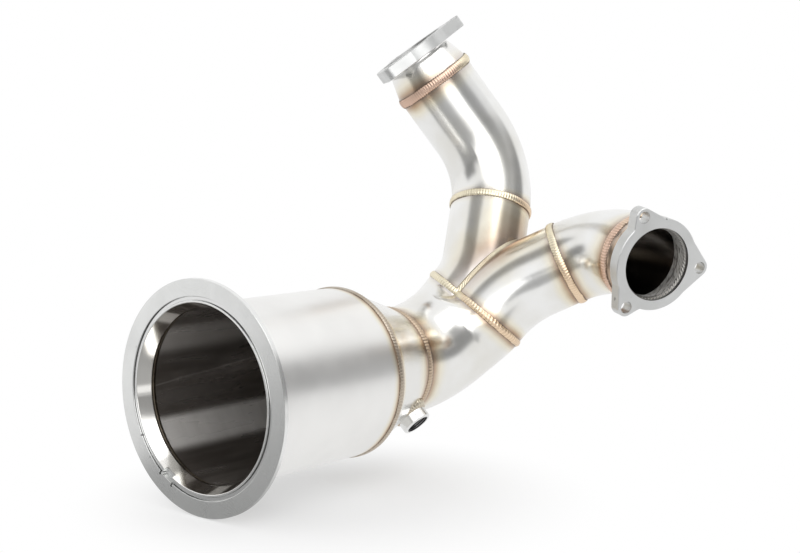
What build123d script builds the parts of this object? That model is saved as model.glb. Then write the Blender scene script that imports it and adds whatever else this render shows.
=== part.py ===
from build123d import *
from math import radians, tan
import os

# Welded turbo downpipe: clamp flange, can, end cone, trunk bend and two branches with bolted flanges.
# The origin is the centre of the clamp flange's front face. +X runs along the can, from the flange
# to the pipes, and +Z is up. Lengths are in millimetres and angles in degrees.

# Clamp flange, built outwards from the can's radius
flange_depth = 13.5
bore_flare = 3.4
lip_width = 1.4
groove_width = 2.7
groove_depth = 3.0
face_width = 11.6
rim_thickness = 3.2
rim_back_angle = 20.0
hub_rise = 5.2
rim_edge_break = 0.6

# Split ring in the flange's groove, its two ends turned out into slots
ring_side_clearance = 0.45
ring_thickness = 1.8
ring_opening_clock = -59.6
ring_opening_angle = 10.8
tab_thickness = 1.1
tab_reach = 2.2
tab_clearance = 0.5
lip_notch_width = 9.2

# Can and end cone
can_r = 61.0
sheet_wall = 1.6
can_length = 118.1
cone_length = 55.4

# Sensor bung near the cone's small end
bung_r = 11.0
bung_thread_r = 8.25
bung_height = 10.0
bung_distance = 45.5
bung_clock = -134.5
bung_lean = 5.0
bung_edge_break = 0.8
bung_bead = 2.8

# Trunk tube, formed at its end to the outline of the two joined branches
trunk_r = 41.0
tube_wall = 1.6
trunk_lead = 13.1
trunk_bend_r = 76.8
trunk_form_angle = 22.0
trunk_form_steps = 6
merge_turn_angle = -42.3
merge_rise_angle = 49.9

# Branch tubes
branch_r = 31.75
branch_offset = 14.8
split_angle = 37.7
merge_lead = 5.4

left_low_bend_r = 48.0
left_low_tail = 45.3
left_leg_turn_angle = 20.9
left_leg_rise_angle = 62.4
left_high_bend_r = 73.0
left_high_tail = 48.8
left_end_turn_angle = 137.7
left_end_rise_angle = 53.5
left_stub_length = 22.0

right_low_bend_r = 92.0
right_low_tail = 24.4
right_leg_turn_angle = -62.2
right_leg_rise_angle = 25.3
right_high_bend_r = 59.5
right_high_tail = 5.4
right_end_turn_angle = -114.5
right_end_rise_angle = -9.6
right_stub_length = 12.0

# Flared stubs and three-bolt flanges
neck_r = 27.0
stub_collar = 4.2
neck_straight = 1.2
neck_fillet = 3.0
neck_recess = 4.4
plate_thickness = 9.6
plate_body_r = 34.3
plate_edge_break = 0.5
ear_count = 3
ear_circle_r = 38.3
ear_r = 6.8
ear_web_r = 28.6
ear_web_shift = 4.6
last_web_r = 33.6
ear_root_fillet = 3.0
bolt_hole_r = 4.5
left_plate_clock = -15.0
right_plate_clock = 24.0

# Weld beads
can_bead_width = 4.8
can_bead_height = 0.95
tube_bead_width = 6.0
tube_bead_height = 1.4
stub_bead_width = 7.4
stub_bead_height = 1.7
crotch_bead = 2.2
inner_bead = 1.5


def heading(turn_angle, rise_angle):
    """Unit vector turned from +X about Z by one angle and raised above the XY plane by another."""
    return Vector(1, 0, 0).rotate(Axis.Y, -rise_angle).rotate(Axis.Z, turn_angle)


def section_plane(centre, along):
    """Plane across a tube, with its X as near to upright as it can be."""
    upright = Vector(0, 0, 1) - along * along.Z
    return Plane(origin=centre, x_dir=upright, z_dir=along)


def tube_line(start, inward, outward, bend_r, tail, lead=0):
    """Centre line of a bent tube: a straight lead if it has one, the bend, and a straight tail."""
    with BuildLine(Plane(origin=start, x_dir=inward, z_dir=inward.cross(outward))) as line:
        if lead:
            Line((0, 0), (lead, 0))
        bend = JernArc((lead, 0), (1, 0), bend_r, inward.get_angle(outward))
        Line(bend @ 1, bend @ 1 + (bend % 1) * tail)
    return line.line


def bead_round(width, height):
    """Radius of the round whose cap has a bead's width and height."""
    return (width**2 / 4 + height**2) / (2 * height)


# Headings of the tubes
can_way = Vector(1, 0, 0)
merge_way = heading(merge_turn_angle, merge_rise_angle)
left_leg = heading(left_leg_turn_angle, left_leg_rise_angle)
left_end = heading(left_end_turn_angle, left_end_rise_angle)
right_leg = heading(right_leg_turn_angle, right_leg_rise_angle)
right_end = heading(right_end_turn_angle, right_end_rise_angle)

# Where the pieces meet along the can
can_end_x = flange_depth + can_length
trunk_x = can_end_x + cone_length
can_bore_r = can_r - sheet_wall
bore_front_r = can_bore_r + bore_flare
groove_inner_r = bore_front_r + lip_width
groove_outer_r = groove_inner_r + groove_width
flange_r = groove_outer_r + face_width
hub_shoulder_r = can_r + hub_rise

# Centre line of the trunk, with the stretch that is formed to the branches' outline
trunk_angle = can_way.get_angle(merge_way)
trunk_normal = can_way.cross(merge_way)
with BuildLine(Plane(origin=(trunk_x, 0, 0), x_dir=can_way, z_dir=trunk_normal)) as trunk_line:
    trunk_straight = Line((0, 0), (trunk_lead, 0))
    trunk_arc = JernArc((trunk_lead, 0), (1, 0), trunk_bend_r, trunk_angle - trunk_form_angle)
with BuildLine(Plane(origin=trunk_arc @ 1, x_dir=trunk_arc % 1, z_dir=trunk_normal)) as form_line:
    form_arc = JernArc((0, 0), (1, 0), trunk_bend_r, trunk_form_angle)
merge_point = form_arc @ 1

# The split runs from the left branch to the right one, in the merge plane
level = Vector(0, 0, 1).cross(merge_way)
split_way = (-level.normalized()).rotate(Axis((0, 0, 0), merge_way), split_angle)
merge_plane = Plane(origin=merge_point, x_dir=split_way, z_dir=merge_way)
left_start = merge_point - split_way * branch_offset
right_start = merge_point + split_way * branch_offset

# Centre lines of the branches
left_low_line = tube_line(left_start, merge_way, left_leg, left_low_bend_r, left_low_tail, merge_lead)
left_mid = left_low_line @ 1
left_high_line = tube_line(left_mid, left_leg, left_end, left_high_bend_r, left_high_tail)
left_top = left_high_line @ 1
right_low_line = tube_line(right_start, merge_way, right_leg, right_low_bend_r, right_low_tail, merge_lead)
right_mid = right_low_line @ 1
right_high_line = tube_line(right_mid, right_leg, right_end, right_high_bend_r, right_high_tail)
right_top = right_high_line @ 1

# Planes across the branches at their welds and at the backs of the bolted flanges
left_mid_plane = section_plane(left_mid, left_leg)
left_top_plane = section_plane(left_top, left_end)
left_back_plane = left_top_plane.offset(left_stub_length)
right_mid_plane = section_plane(right_mid, right_leg)
right_top_plane = section_plane(right_top, right_end)
right_back_plane = right_top_plane.offset(right_stub_length)

# Solid cores of the tubes, from which bores and bead seats are cut
with BuildPart() as can_core:
    with BuildSketch(Plane.YZ.offset(flange_depth)):
        Circle(can_r)
    extrude(amount=can_length)

with BuildPart() as cone_core:
    with BuildSketch(Plane.XY):
        Polygon((can_end_x, 0), (trunk_x, 0), (trunk_x, trunk_r), (can_end_x, can_r), align=None)
    revolve(axis=Axis.X)


def form_sections(wall):
    """Outlines from the round tube to the two joined branches, each made of two equal arcs."""
    sections = []
    for step in range(trunk_form_steps + 1):
        share = step / trunk_form_steps
        ease = share**2 * (3 - 2 * share)
        turn = (share - 1) * trunk_form_angle
        across = split_way.rotate(Axis((0, 0, 0), trunk_normal), turn)
        along = merge_way.rotate(Axis((0, 0, 0), trunk_normal), turn)
        arc_r = trunk_r + ease * (branch_r - trunk_r) - wall
        shift = ease * branch_offset
        waist = (arc_r**2 - shift**2) ** 0.5
        with BuildSketch(Plane(origin=form_arc @ share, x_dir=across, z_dir=along)) as section:
            with BuildLine():
                ThreePointArc((0, waist), (-shift - arc_r, 0), (0, -waist))
                ThreePointArc((0, -waist), (shift + arc_r, 0), (0, waist))
            make_face()
        sections.append(section.sketch)
    return sections


with BuildPart() as trunk_core:
    with BuildSketch(Plane(origin=(trunk_x, 0, 0), z_dir=can_way)):
        Circle(trunk_r)
    sweep(path=trunk_line.line)
    loft(form_sections(0))

with BuildPart() as trunk_bore:
    with BuildSketch(Plane(origin=(trunk_x, 0, 0), z_dir=can_way)):
        Circle(trunk_r - tube_wall)
    sweep(path=trunk_line.line)
    loft(form_sections(tube_wall))


def tube_core(line, radius):
    """Solid round bar along a centre line."""
    with BuildPart() as core:
        with BuildSketch(Plane(origin=line @ 0, z_dir=line % 0)):
            Circle(radius)
        sweep(path=line)
    return core.part


left_low_core = tube_core(left_low_line, branch_r)
left_low_bore = tube_core(left_low_line, branch_r - tube_wall)
left_high_core = tube_core(left_high_line, branch_r)
right_low_core = tube_core(right_low_line, branch_r)
right_low_bore = tube_core(right_low_line, branch_r - tube_wall)
right_high_core = tube_core(right_high_line, branch_r)

# Clamp flange: a tapered rim for the clamp, a grooved front face and a bore that narrows to the can
rim_drop = flange_r - hub_shoulder_r
shoulder_x = rim_thickness + rim_drop * tan(radians(rim_back_angle))
slot_width = tab_thickness + 2 * tab_clearance
half_opening = ring_opening_angle / 2
tab_clocks = (ring_opening_clock - half_opening, ring_opening_clock + half_opening)
with BuildPart() as flange_core:
    with BuildSketch(Plane.XY) as flange_outline:
        Polygon(
            (0, 0),
            (0, flange_r),
            (rim_thickness, flange_r),
            (shoulder_x, hub_shoulder_r),
            (flange_depth, can_r),
            (flange_depth, 0),
            align=None,
        )
        chamfer(flange_outline.vertices().group_by(Axis.Y)[-1], rim_edge_break)
    revolve(axis=Axis.X)

with BuildPart() as turbo_flange:
    add(flange_core.part)
    with BuildSketch(Plane.XY):
        Polygon(
            (0, 0),
            (0, bore_front_r),
            (flange_depth, can_bore_r),
            (flange_depth, 0),
            align=None,
        )
        with Locations((0, groove_inner_r)):
            Rectangle(groove_depth, groove_width, align=Align.MIN)
    revolve(axis=Axis.X, mode=Mode.SUBTRACT)
    # Slots for the ring's ends, and the notch in the lip between them
    with BuildSketch(Plane.YZ):
        for clock in tab_clocks:
            with Locations(Rot(0, 0, clock)):
                with Locations((groove_outer_r, 0)):
                    Rectangle(2 * (tab_reach + tab_clearance), slot_width)
        with Locations(Rot(0, 0, ring_opening_clock)):
            with Locations((bore_front_r + lip_width / 2, 0)):
                Rectangle(2 * lip_width, lip_notch_width)
    extrude(amount=groove_depth, mode=Mode.SUBTRACT)

# Split ring: most of a turn in the groove, with an end turned out at each side of the opening
ring_inner_r = groove_inner_r + ring_side_clearance
ring_outer_r = groove_outer_r - ring_side_clearance
with BuildPart() as groove_ring:
    with BuildSketch(Plane.YZ.offset(groove_depth)):
        Circle(ring_outer_r)
        Circle(ring_inner_r, mode=Mode.SUBTRACT)
        with Locations(Rot(0, 0, ring_opening_clock)):
            with Locations((ring_outer_r, 0)):
                Rectangle(
                    2 * groove_width,
                    2 * ring_outer_r * tan(radians(half_opening)),
                    mode=Mode.SUBTRACT,
                )
        for clock in tab_clocks:
            with Locations(Rot(0, 0, clock)):
                with Locations((ring_inner_r, 0)):
                    Rectangle(
                        groove_outer_r - ring_inner_r + tab_reach,
                        tab_thickness,
                        align=(Align.MIN, Align.CENTER),
                    )
    extrude(amount=-ring_thickness)

# Can: a plain thin tube from the flange to the cone
with BuildPart() as can_shell:
    with BuildSketch(Plane.YZ.offset(flange_depth)):
        Circle(can_r)
        Circle(can_bore_r, mode=Mode.SUBTRACT)
    extrude(amount=can_length)

# Bung axis: stands on the cone at a distance down its slope, and leans a little to the pipes
slope_way = Vector(cone_length, trunk_r - can_r).normalized()
bung_foot = Vector(can_end_x, can_r) + slope_way * bung_distance
bung_base = bung_foot.rotate(Axis.X, bung_clock)
bung_way = Vector(0, 1, 0).rotate(Axis.Z, -bung_lean).rotate(Axis.X, bung_clock)
bung_side = bung_way.cross(can_way).normalized()
bung_plane = Plane(origin=bung_base, x_dir=bung_side, z_dir=bung_way)

# End cone: from the can down to the trunk, drilled under the bung
with BuildPart() as end_cone:
    with BuildSketch(Plane.XY):
        Polygon(
            (can_end_x, can_bore_r),
            (can_end_x, can_r),
            (trunk_x, trunk_r),
            (trunk_x, trunk_r - tube_wall),
            align=None,
        )
    revolve(axis=Axis.X)
    with BuildSketch(bung_plane):
        Circle(bung_thread_r)
    extrude(amount=bung_r, both=True, mode=Mode.SUBTRACT)

# Sensor bung: a round boss with a threaded bore, saddled to the cone
with BuildPart() as bung_core:
    with BuildSketch(bung_plane.offset(-bung_r / 2)):
        Circle(bung_r)
    extrude(amount=bung_r / 2 + bung_height)
    chamfer(bung_core.edges().sort_by(Axis(bung_base, bung_way))[-1], bung_edge_break)

with BuildPart() as sensor_bung:
    add(bung_core.part)
    add(cone_core.part, mode=Mode.SUBTRACT)
    with Locations(bung_plane):
        Hole(bung_thread_r)

# Trunk bend: round at the cone, and formed to the joined branches at its far end
with BuildPart() as trunk_bend:
    add(trunk_core.part)
    add(trunk_bore.part, mode=Mode.SUBTRACT)

# Collector halves: each low branch is cut away along the crotch where the other one passes
with BuildPart() as left_merge_tube:
    add(left_low_core)
    add(left_low_bore, mode=Mode.SUBTRACT)
    add(right_low_core, mode=Mode.SUBTRACT)

with BuildPart() as right_merge_tube:
    add(right_low_core)
    add(right_low_bore, mode=Mode.SUBTRACT)
    add(left_low_bore, mode=Mode.SUBTRACT)

# Upper bends of the two branches
with BuildPart() as left_upper_bend:
    with BuildSketch(left_mid_plane):
        Circle(branch_r)
        Circle(branch_r - tube_wall, mode=Mode.SUBTRACT)
    sweep(path=left_high_line)

with BuildPart() as right_upper_bend:
    with BuildSketch(right_mid_plane):
        Circle(branch_r)
        Circle(branch_r - tube_wall, mode=Mode.SUBTRACT)
    sweep(path=right_high_line)


def stub_profile(length, inset):
    """Half section of a stub that narrows from the branch to the neck inside the flange."""
    end = length + plate_thickness - neck_recess
    with BuildLine() as flare:
        FilletPolyline(
            (branch_r - inset, 0),
            (branch_r - inset, stub_collar),
            (neck_r - inset, length - neck_straight),
            (neck_r - inset, end),
            radius=neck_fillet,
        )
    with BuildSketch(Plane.XZ) as half:
        with BuildLine():
            add(flare.line)
            Polyline((neck_r - inset, end), (0, end), (0, 0), (branch_r - inset, 0))
        make_face()
    return half.sketch


def stub_solid(plane, length, inset):
    """Solid of a stub's outside, or of its bore with the wall as inset, standing on a plane."""
    with BuildPart() as solid:
        add(stub_profile(length, inset))
        revolve(axis=Axis.Z)
    return plane.location * solid.part


left_stub_core = stub_solid(left_top_plane, left_stub_length, 0)
right_stub_core = stub_solid(right_top_plane, right_stub_length, 0)

with BuildPart() as left_stub:
    add(left_stub_core)
    add(stub_solid(left_top_plane, left_stub_length, tube_wall), mode=Mode.SUBTRACT)

with BuildPart() as right_stub:
    add(right_stub_core)
    add(stub_solid(right_top_plane, right_stub_length, tube_wall), mode=Mode.SUBTRACT)

# Outline shared by the two bolted flanges: a round body with three ears. Two of them run straight
# into the body on one side and step in on the other, and the last is straight on both sides.
with BuildSketch() as ear_outline:
    with Locations((0, -ear_web_shift)):
        Circle(ear_web_r)
    with Locations((ear_circle_r, 0)):
        Circle(ear_r)
    make_hull()

with BuildSketch() as last_ear_outline:
    Circle(last_web_r)
    with Locations((ear_circle_r, 0)):
        Circle(ear_r)
    make_hull()

with BuildSketch() as plate_outline:
    Circle(plate_body_r)
    for ear in range(ear_count - 1):
        add(ear_outline.sketch, rotation=ear * 360 / ear_count)
    add(last_ear_outline.sketch, rotation=-360 / ear_count)
    fillet(plate_outline.vertices().group_by(SortBy.DISTANCE)[0], ear_root_fillet)
    Circle(neck_r, mode=Mode.SUBTRACT)
    with PolarLocations(ear_circle_r, ear_count):
        Circle(bolt_hole_r, mode=Mode.SUBTRACT)


def bolted_flange(back_plane, clock):
    """Flange plate on a branch's neck, turned by a clock angle from the upright."""
    with BuildPart() as plate:
        add(plate_outline.sketch)
        extrude(amount=plate_thickness)
        outer_edges = plate.faces().sort_by(Axis.Z)[-1].outer_wire().edges()
        outer_edges += plate.faces().sort_by(Axis.Z)[0].outer_wire().edges()
        chamfer(outer_edges, plate_edge_break)
    return back_plane.location * Rot(0, 0, clock) * plate.part


with BuildPart() as left_flange:
    add(bolted_flange(left_back_plane, left_plate_clock))

with BuildPart() as right_flange:
    add(bolted_flange(right_back_plane, right_plate_clock))


def bead_ring(plane, seat_r, width, height):
    """Round ring about a tube, sunk so that only the bead's cap stands out of the tube."""
    round_r = bead_round(width, height)
    with BuildPart() as ring:
        with Locations(plane):
            Torus(seat_r + height - round_r, round_r)
    return ring.part


# Weld beads along the can
with BuildPart() as flange_weld:
    add(bead_ring(Plane.YZ.offset(flange_depth), can_r, can_bead_width, can_bead_height))
    add([flange_core.part, can_core.part], mode=Mode.SUBTRACT)

with BuildPart() as can_cone_weld:
    add(bead_ring(Plane.YZ.offset(can_end_x), can_r, can_bead_width, can_bead_height))
    add([can_core.part, cone_core.part], mode=Mode.SUBTRACT)

with BuildPart() as cone_trunk_weld:
    add(bead_ring(Plane.YZ.offset(trunk_x), trunk_r, tube_bead_width, tube_bead_height))
    add([cone_core.part, trunk_core.part, bung_core.part], mode=Mode.SUBTRACT)

with BuildPart() as bung_weld:
    with BuildSketch(Plane(origin=bung_base, x_dir=bung_side, z_dir=bung_side.cross(bung_way))):
        with BuildLine():
            Polyline(
                (bung_r, bung_bead),
                (bung_r, -bung_r / 2),
                (bung_r + bung_bead, -bung_r / 2),
                (bung_r + bung_bead, -bung_bead),
            )
            ThreePointArc(
                (bung_r + bung_bead, -bung_bead),
                (bung_r + 0.8 * bung_bead, 0.2 * bung_bead),
                (bung_r, bung_bead),
            )
        make_face()
    revolve(axis=Axis(bung_base, bung_way))
    add([cone_core.part, trunk_core.part, cone_trunk_weld.part], mode=Mode.SUBTRACT)

# Weld bead round the trunk's formed end, and the one that climbs the crotch from it
with BuildPart() as merge_ring_weld:
    for start in (left_start, right_start):
        add(bead_ring(Plane(origin=start, z_dir=merge_way), branch_r, tube_bead_width, tube_bead_height))
    add([trunk_core.part, left_low_core, right_low_core], mode=Mode.SUBTRACT)

with BuildPart() as crotch_weld:
    add(tube_core(left_low_line, branch_r + crotch_bead))
    add(tube_core(right_low_line, branch_r + crotch_bead), mode=Mode.INTERSECT)
    add([left_low_core, right_low_core, merge_ring_weld.part], mode=Mode.SUBTRACT)

# Weld beads across the branches
with BuildPart() as left_mid_weld:
    add(bead_ring(left_mid_plane, branch_r, tube_bead_width, tube_bead_height))
    add([left_low_core, left_high_core], mode=Mode.SUBTRACT)

with BuildPart() as right_mid_weld:
    add(bead_ring(right_mid_plane, branch_r, tube_bead_width, tube_bead_height))
    add([right_low_core, right_high_core], mode=Mode.SUBTRACT)

with BuildPart() as left_stub_weld:
    add(bead_ring(left_top_plane, branch_r, stub_bead_width, stub_bead_height))
    add([left_high_core, left_stub_core], mode=Mode.SUBTRACT)

with BuildPart() as right_stub_weld:
    add(bead_ring(right_top_plane, branch_r, stub_bead_width, stub_bead_height))
    add([right_high_core, right_stub_core], mode=Mode.SUBTRACT)


def neck_bead(back_plane):
    """Bead in the corner between a neck's end and the bore of its flange."""
    seat = plate_thickness - neck_recess
    with BuildPart() as bead:
        with BuildSketch(Plane.XZ):
            with BuildLine():
                Line((neck_r - tube_wall, seat), (neck_r, seat))
                Line((neck_r, seat), (neck_r, seat + inner_bead))
                ThreePointArc(
                    (neck_r, seat + inner_bead),
                    (neck_r - tube_wall / 2, seat + 0.7 * inner_bead),
                    (neck_r - tube_wall, seat),
                )
            make_face()
        revolve(axis=Axis.Z)
    return back_plane.location * bead.part


with BuildPart() as left_flange_weld:
    add(neck_bead(left_back_plane))

with BuildPart() as right_flange_weld:
    add(neck_bead(right_back_plane))

pieces = {
    "turbo_flange": turbo_flange,
    "groove_ring": groove_ring,
    "can_shell": can_shell,
    "end_cone": end_cone,
    "sensor_bung": sensor_bung,
    "trunk_bend": trunk_bend,
    "left_merge_tube": left_merge_tube,
    "right_merge_tube": right_merge_tube,
    "left_upper_bend": left_upper_bend,
    "right_upper_bend": right_upper_bend,
    "left_stub": left_stub,
    "right_stub": right_stub,
    "left_flange": left_flange,
    "right_flange": right_flange,
    "flange_weld": flange_weld,
    "can_cone_weld": can_cone_weld,
    "cone_trunk_weld": cone_trunk_weld,
    "bung_weld": bung_weld,
    "merge_ring_weld": merge_ring_weld,
    "crotch_weld": crotch_weld,
    "left_mid_weld": left_mid_weld,
    "right_mid_weld": right_mid_weld,
    "left_stub_weld": left_stub_weld,
    "right_stub_weld": right_stub_weld,
    "left_flange_weld": left_flange_weld,
    "right_flange_weld": right_flange_weld,
}
os.makedirs("parts", exist_ok=True)
for name, piece in pieces.items():
    piece.part.label = name
    export_step(piece.part, f"parts/{name}.step")
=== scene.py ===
import logging
import math
from dataclasses import dataclass
from enum import Enum
from typing import Any, Sequence, Union

import bmesh
import bpy
from mathutils import Matrix, Vector


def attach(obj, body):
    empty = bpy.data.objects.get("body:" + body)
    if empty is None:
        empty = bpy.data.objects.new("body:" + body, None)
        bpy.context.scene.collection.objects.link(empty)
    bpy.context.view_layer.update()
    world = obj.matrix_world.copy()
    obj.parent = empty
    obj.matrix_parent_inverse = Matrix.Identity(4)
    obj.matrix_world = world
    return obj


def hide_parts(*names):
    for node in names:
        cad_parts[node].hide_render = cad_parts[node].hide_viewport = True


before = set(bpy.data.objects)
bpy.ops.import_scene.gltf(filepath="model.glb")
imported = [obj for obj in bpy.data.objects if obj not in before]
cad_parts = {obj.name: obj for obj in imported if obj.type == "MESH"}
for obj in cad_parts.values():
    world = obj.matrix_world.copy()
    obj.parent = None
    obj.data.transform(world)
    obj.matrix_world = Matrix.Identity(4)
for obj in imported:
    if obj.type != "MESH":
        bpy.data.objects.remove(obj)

LOG = logging.getLogger("downpipe")
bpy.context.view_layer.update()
BODY = "root"

Pair = tuple[float, float]
Triple = tuple[float, float, float]
Band = tuple[float, float, float, float]
Scalar = Union["Value", float, int]
Node = bpy.types.Node
Socket = bpy.types.NodeSocket

X_WAY: Triple = (1.0, 0.0, 0.0)
UP: Triple = (0.0, 0.0, 1.0)
WITHOUT_X: Triple = (0.0, 1.0, 1.0)
WITHOUT_Z: Triple = (1.0, 1.0, 0.0)
WHITE: Triple = (1.0, 1.0, 1.0)
EDGE_SOFT = 0.0004  # half of the width over which one zone of a finish turns into the next
WELDED = 1e-6  # points closer than this become one


# shader maths


class Value:
    """Socket that carries a number, on which Python's operators add Math nodes."""

    def __init__(self, graph: "Graph", socket: Socket) -> None:
        """Wrap a socket of a graph, which is the tree that new nodes are added to."""
        self.graph = graph
        self.socket = socket

    def math(self, operation: str, *others: Scalar, clamp: bool = False) -> "Value":
        """Add one Math node with this value as its first input."""
        return self.graph.math(operation, self, *others, clamp=clamp)

    def __add__(self, other: Scalar) -> "Value":
        """Add."""
        return self.math("ADD", other)

    __radd__ = __add__

    def __sub__(self, other: Scalar) -> "Value":
        """Subtract."""
        return self.math("SUBTRACT", other)

    def __rsub__(self, other: Scalar) -> "Value":
        """Subtract from a number."""
        return self.graph.math("SUBTRACT", other, self)

    def __mul__(self, other: Scalar) -> "Value":
        """Multiply."""
        return self.math("MULTIPLY", other)

    __rmul__ = __mul__

    def __truediv__(self, other: Scalar) -> "Value":
        """Divide."""
        return self.math("DIVIDE", other)

    def __abs__(self) -> "Value":
        """Take the size without its sign."""
        return self.math("ABSOLUTE")

    def root(self) -> "Value":
        """Take the square root."""
        return self.math("SQRT")

    def wave(self) -> "Value":
        """Turn an angle into a wave between 0 and 1."""
        return self.math("SINE") * 0.5 + 0.5

    def clamped(self) -> "Value":
        """Hold between 0 and 1."""
        return self.math("ADD", 0.0, clamp=True)

    def most(self, other: Scalar) -> "Value":
        """Take the greater of two values."""
        return self.math("MAXIMUM", other)

    def between(self, low: float, high: float) -> "Value":
        """Ramp smoothly from 0 at low to 1 at high; low may be the greater."""
        t = ((self - low) / (high - low)).clamped()
        return t * t * (3.0 - 2.0 * t)

    def band(self, start: float, full: float, fading: float, end: float) -> "Value":
        """Ramp up to 1 from start to full, and down again to 0 from fading to end."""
        return self.between(start, full) * self.between(end, fading)


class Graph:
    """A node tree of a material or of the world, with one way to add any node."""

    def __init__(self, owner: Union[bpy.types.Material, bpy.types.World]) -> None:
        """Start an empty tree.

        Args:
            owner: The material or world that the nodes belong to.
        """
        self.owner = owner
        owner.use_nodes = True
        self.tree = owner.node_tree
        self.tree.nodes.clear()
        self._place: Socket | None = None

    @classmethod
    def material(cls, name: str) -> "Graph":
        """Start the tree of a new material."""
        return cls(bpy.data.materials.new(name))

    def add(
        self,
        kind: str,
        settings: dict[str, Any] | None = None,
        inputs: dict[Any, Any] | None = None,
        stops: Sequence[tuple[float, Triple]] = (),
    ) -> Node:
        """Add one node.

        Args:
            kind: The node's type.
            settings: Properties, set before any input.
            inputs: Numbers, tuples, sockets or Values, by the input's name or index.
            stops: A colour ramp's stops, from low to high.

        Returns:
            The new node.
        """
        node = self.tree.nodes.new(kind)
        for key, value in (settings or {}).items():
            setattr(node, key, value)
        if stops:
            ramp = node.color_ramp
            while len(ramp.elements) < len(stops):
                ramp.elements.new(0.5)
            for element, (position, colour) in zip(ramp.elements, stops):
                element.position = position
                element.color = (*colour, 1.0)
        for key, value in (inputs or {}).items():
            if isinstance(value, Value):
                value = value.socket
            if isinstance(value, Socket):
                self.tree.links.new(value, node.inputs[key])
            elif isinstance(value, tuple) and node.inputs[key].type == "RGBA":
                node.inputs[key].default_value = (*value, 1.0)
            else:
                node.inputs[key].default_value = value
        return node

    def math(self, operation: str, *values: Scalar, clamp: bool = False) -> Value:
        """Add a Math node.

        Args:
            operation: The node's operation.
            values: Its inputs in order.
            clamp: Whether the result is held between 0 and 1.

        Returns:
            The node's result.
        """
        settings = {"operation": operation, "use_clamp": clamp}
        node = self.add("ShaderNodeMath", settings, dict(enumerate(values)))
        return Value(self, node.outputs[0])

    def vector_math(self, operation: str, *values: Any) -> Node:
        """Add a Vector Math node with its inputs in order."""
        return self.add("ShaderNodeVectorMath", {"operation": operation}, dict(enumerate(values)))

    def place(self) -> Socket:
        """Give the Object coordinates, which are metres in the part's own frame."""
        if self._place is None:
            self._place = self.add("ShaderNodeTexCoord").outputs["Object"]
        return self._place

    def offset(self, centre: Triple) -> Socket:
        """Give the place measured from a point."""
        return self.vector_math("SUBTRACT", self.place(), centre).outputs[0]

    def stretched(self, scale: Triple) -> Socket:
        """Give the place with each axis scaled."""
        return self.vector_math("MULTIPLY", self.place(), scale).outputs[0]

    def along(self, vector: Socket, way: Sequence[float]) -> Value:
        """Measure a vector along a direction of length 1."""
        return Value(self, self.vector_math("DOT_PRODUCT", vector, tuple(way)).outputs["Value"])

    def length(self, vector: Socket) -> Value:
        """Measure the whole of a vector."""
        return Value(self, self.vector_math("LENGTH", vector).outputs["Value"])

    def around(self, vector: Socket, way: Sequence[float]) -> Value:
        """Measure a vector across a direction.

        Args:
            vector: The vector, from a point on an axis.
            way: The axis's direction, of length 1.

        Returns:
            The distance of the vector's end from the axis.
        """
        whole = self.length(vector)
        ahead = self.along(vector, way)
        return (whole * whole - ahead * ahead).root()

    def clock(self, vector: Socket, across: Vector, side: Vector) -> Value:
        """Give a vector's angle about an axis, 0 at across and a quarter turn at side."""
        return self.math("ARCTAN2", self.along(vector, side), self.along(vector, across))

    def about_x(self) -> tuple[Value, Value]:
        """Give how far the place lies along the X axis, and how far out from it."""
        return self.along(self.place(), X_WAY), self.length(self.stretched(WITHOUT_X))

    def noise(self, scale: float, detail: float = 2.0, vector: Socket | None = None) -> Value:
        """Give noise from 0 to 1, with scale features per metre, or per unit of the vector."""
        inputs = {"Vector": vector or self.place(), "Scale": scale, "Detail": detail}
        return Value(self, self.add("ShaderNodeTexNoise", None, inputs).outputs["Fac"])

    def streaks(self, scale: Triple) -> Value:
        """Give noise that has its own number of features per metre along each axis."""
        return self.noise(1.0, 3.0, self.stretched(scale))

    def mix(self, factor: Scalar, first: Any, second: Any) -> Socket:
        """Mix two colours: the first at factor 0, the second at 1."""
        settings = {"data_type": "RGBA", "clamp_factor": True}
        return self.add("ShaderNodeMix", settings, {0: factor, 6: first, 7: second}).outputs[2]

    def ramp(self, factor: Value, stops: Sequence[tuple[float, Triple]]) -> Socket:
        """Turn a value into a colour by a ramp."""
        return self.add("ShaderNodeValToRGB", None, {0: factor}, stops).outputs[0]

    def blend(self, factor: Scalar, first: Node, second: Node) -> Node:
        """Mix two shaders: the first at factor 0, the second at 1."""
        inputs = {0: factor, 1: first.outputs[0], 2: second.outputs[0]}
        return self.add("ShaderNodeMixShader", None, inputs)

    def finish(
        self,
        colour: Any,
        roughness: Scalar,
        height: Value,
        bump: float,
        relief: float,
        metallic: Scalar = 1.0,
    ) -> bpy.types.Material:
        """Close the material with one Principled shader.

        Args:
            colour: The base colour or its socket.
            roughness: The roughness.
            height: Surface relief between 0 and 1.
            bump: How strongly the relief shows.
            relief: The relief's height in metres.
            metallic: 1 for metal.

        Returns:
            The finished material.
        """
        bumped = {"Strength": bump, "Distance": relief, "Height": height}
        inputs: dict[Any, Any] = {
            "Base Color": colour,
            "Roughness": roughness,
            "Metallic": metallic,
            "Normal": self.add("ShaderNodeBump", None, bumped).outputs[0],
        }
        shader = self.add("ShaderNodeBsdfPrincipled", None, inputs)
        self.add("ShaderNodeOutputMaterial", None, {"Surface": shader.outputs[0]})
        return self.owner


# seams


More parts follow.
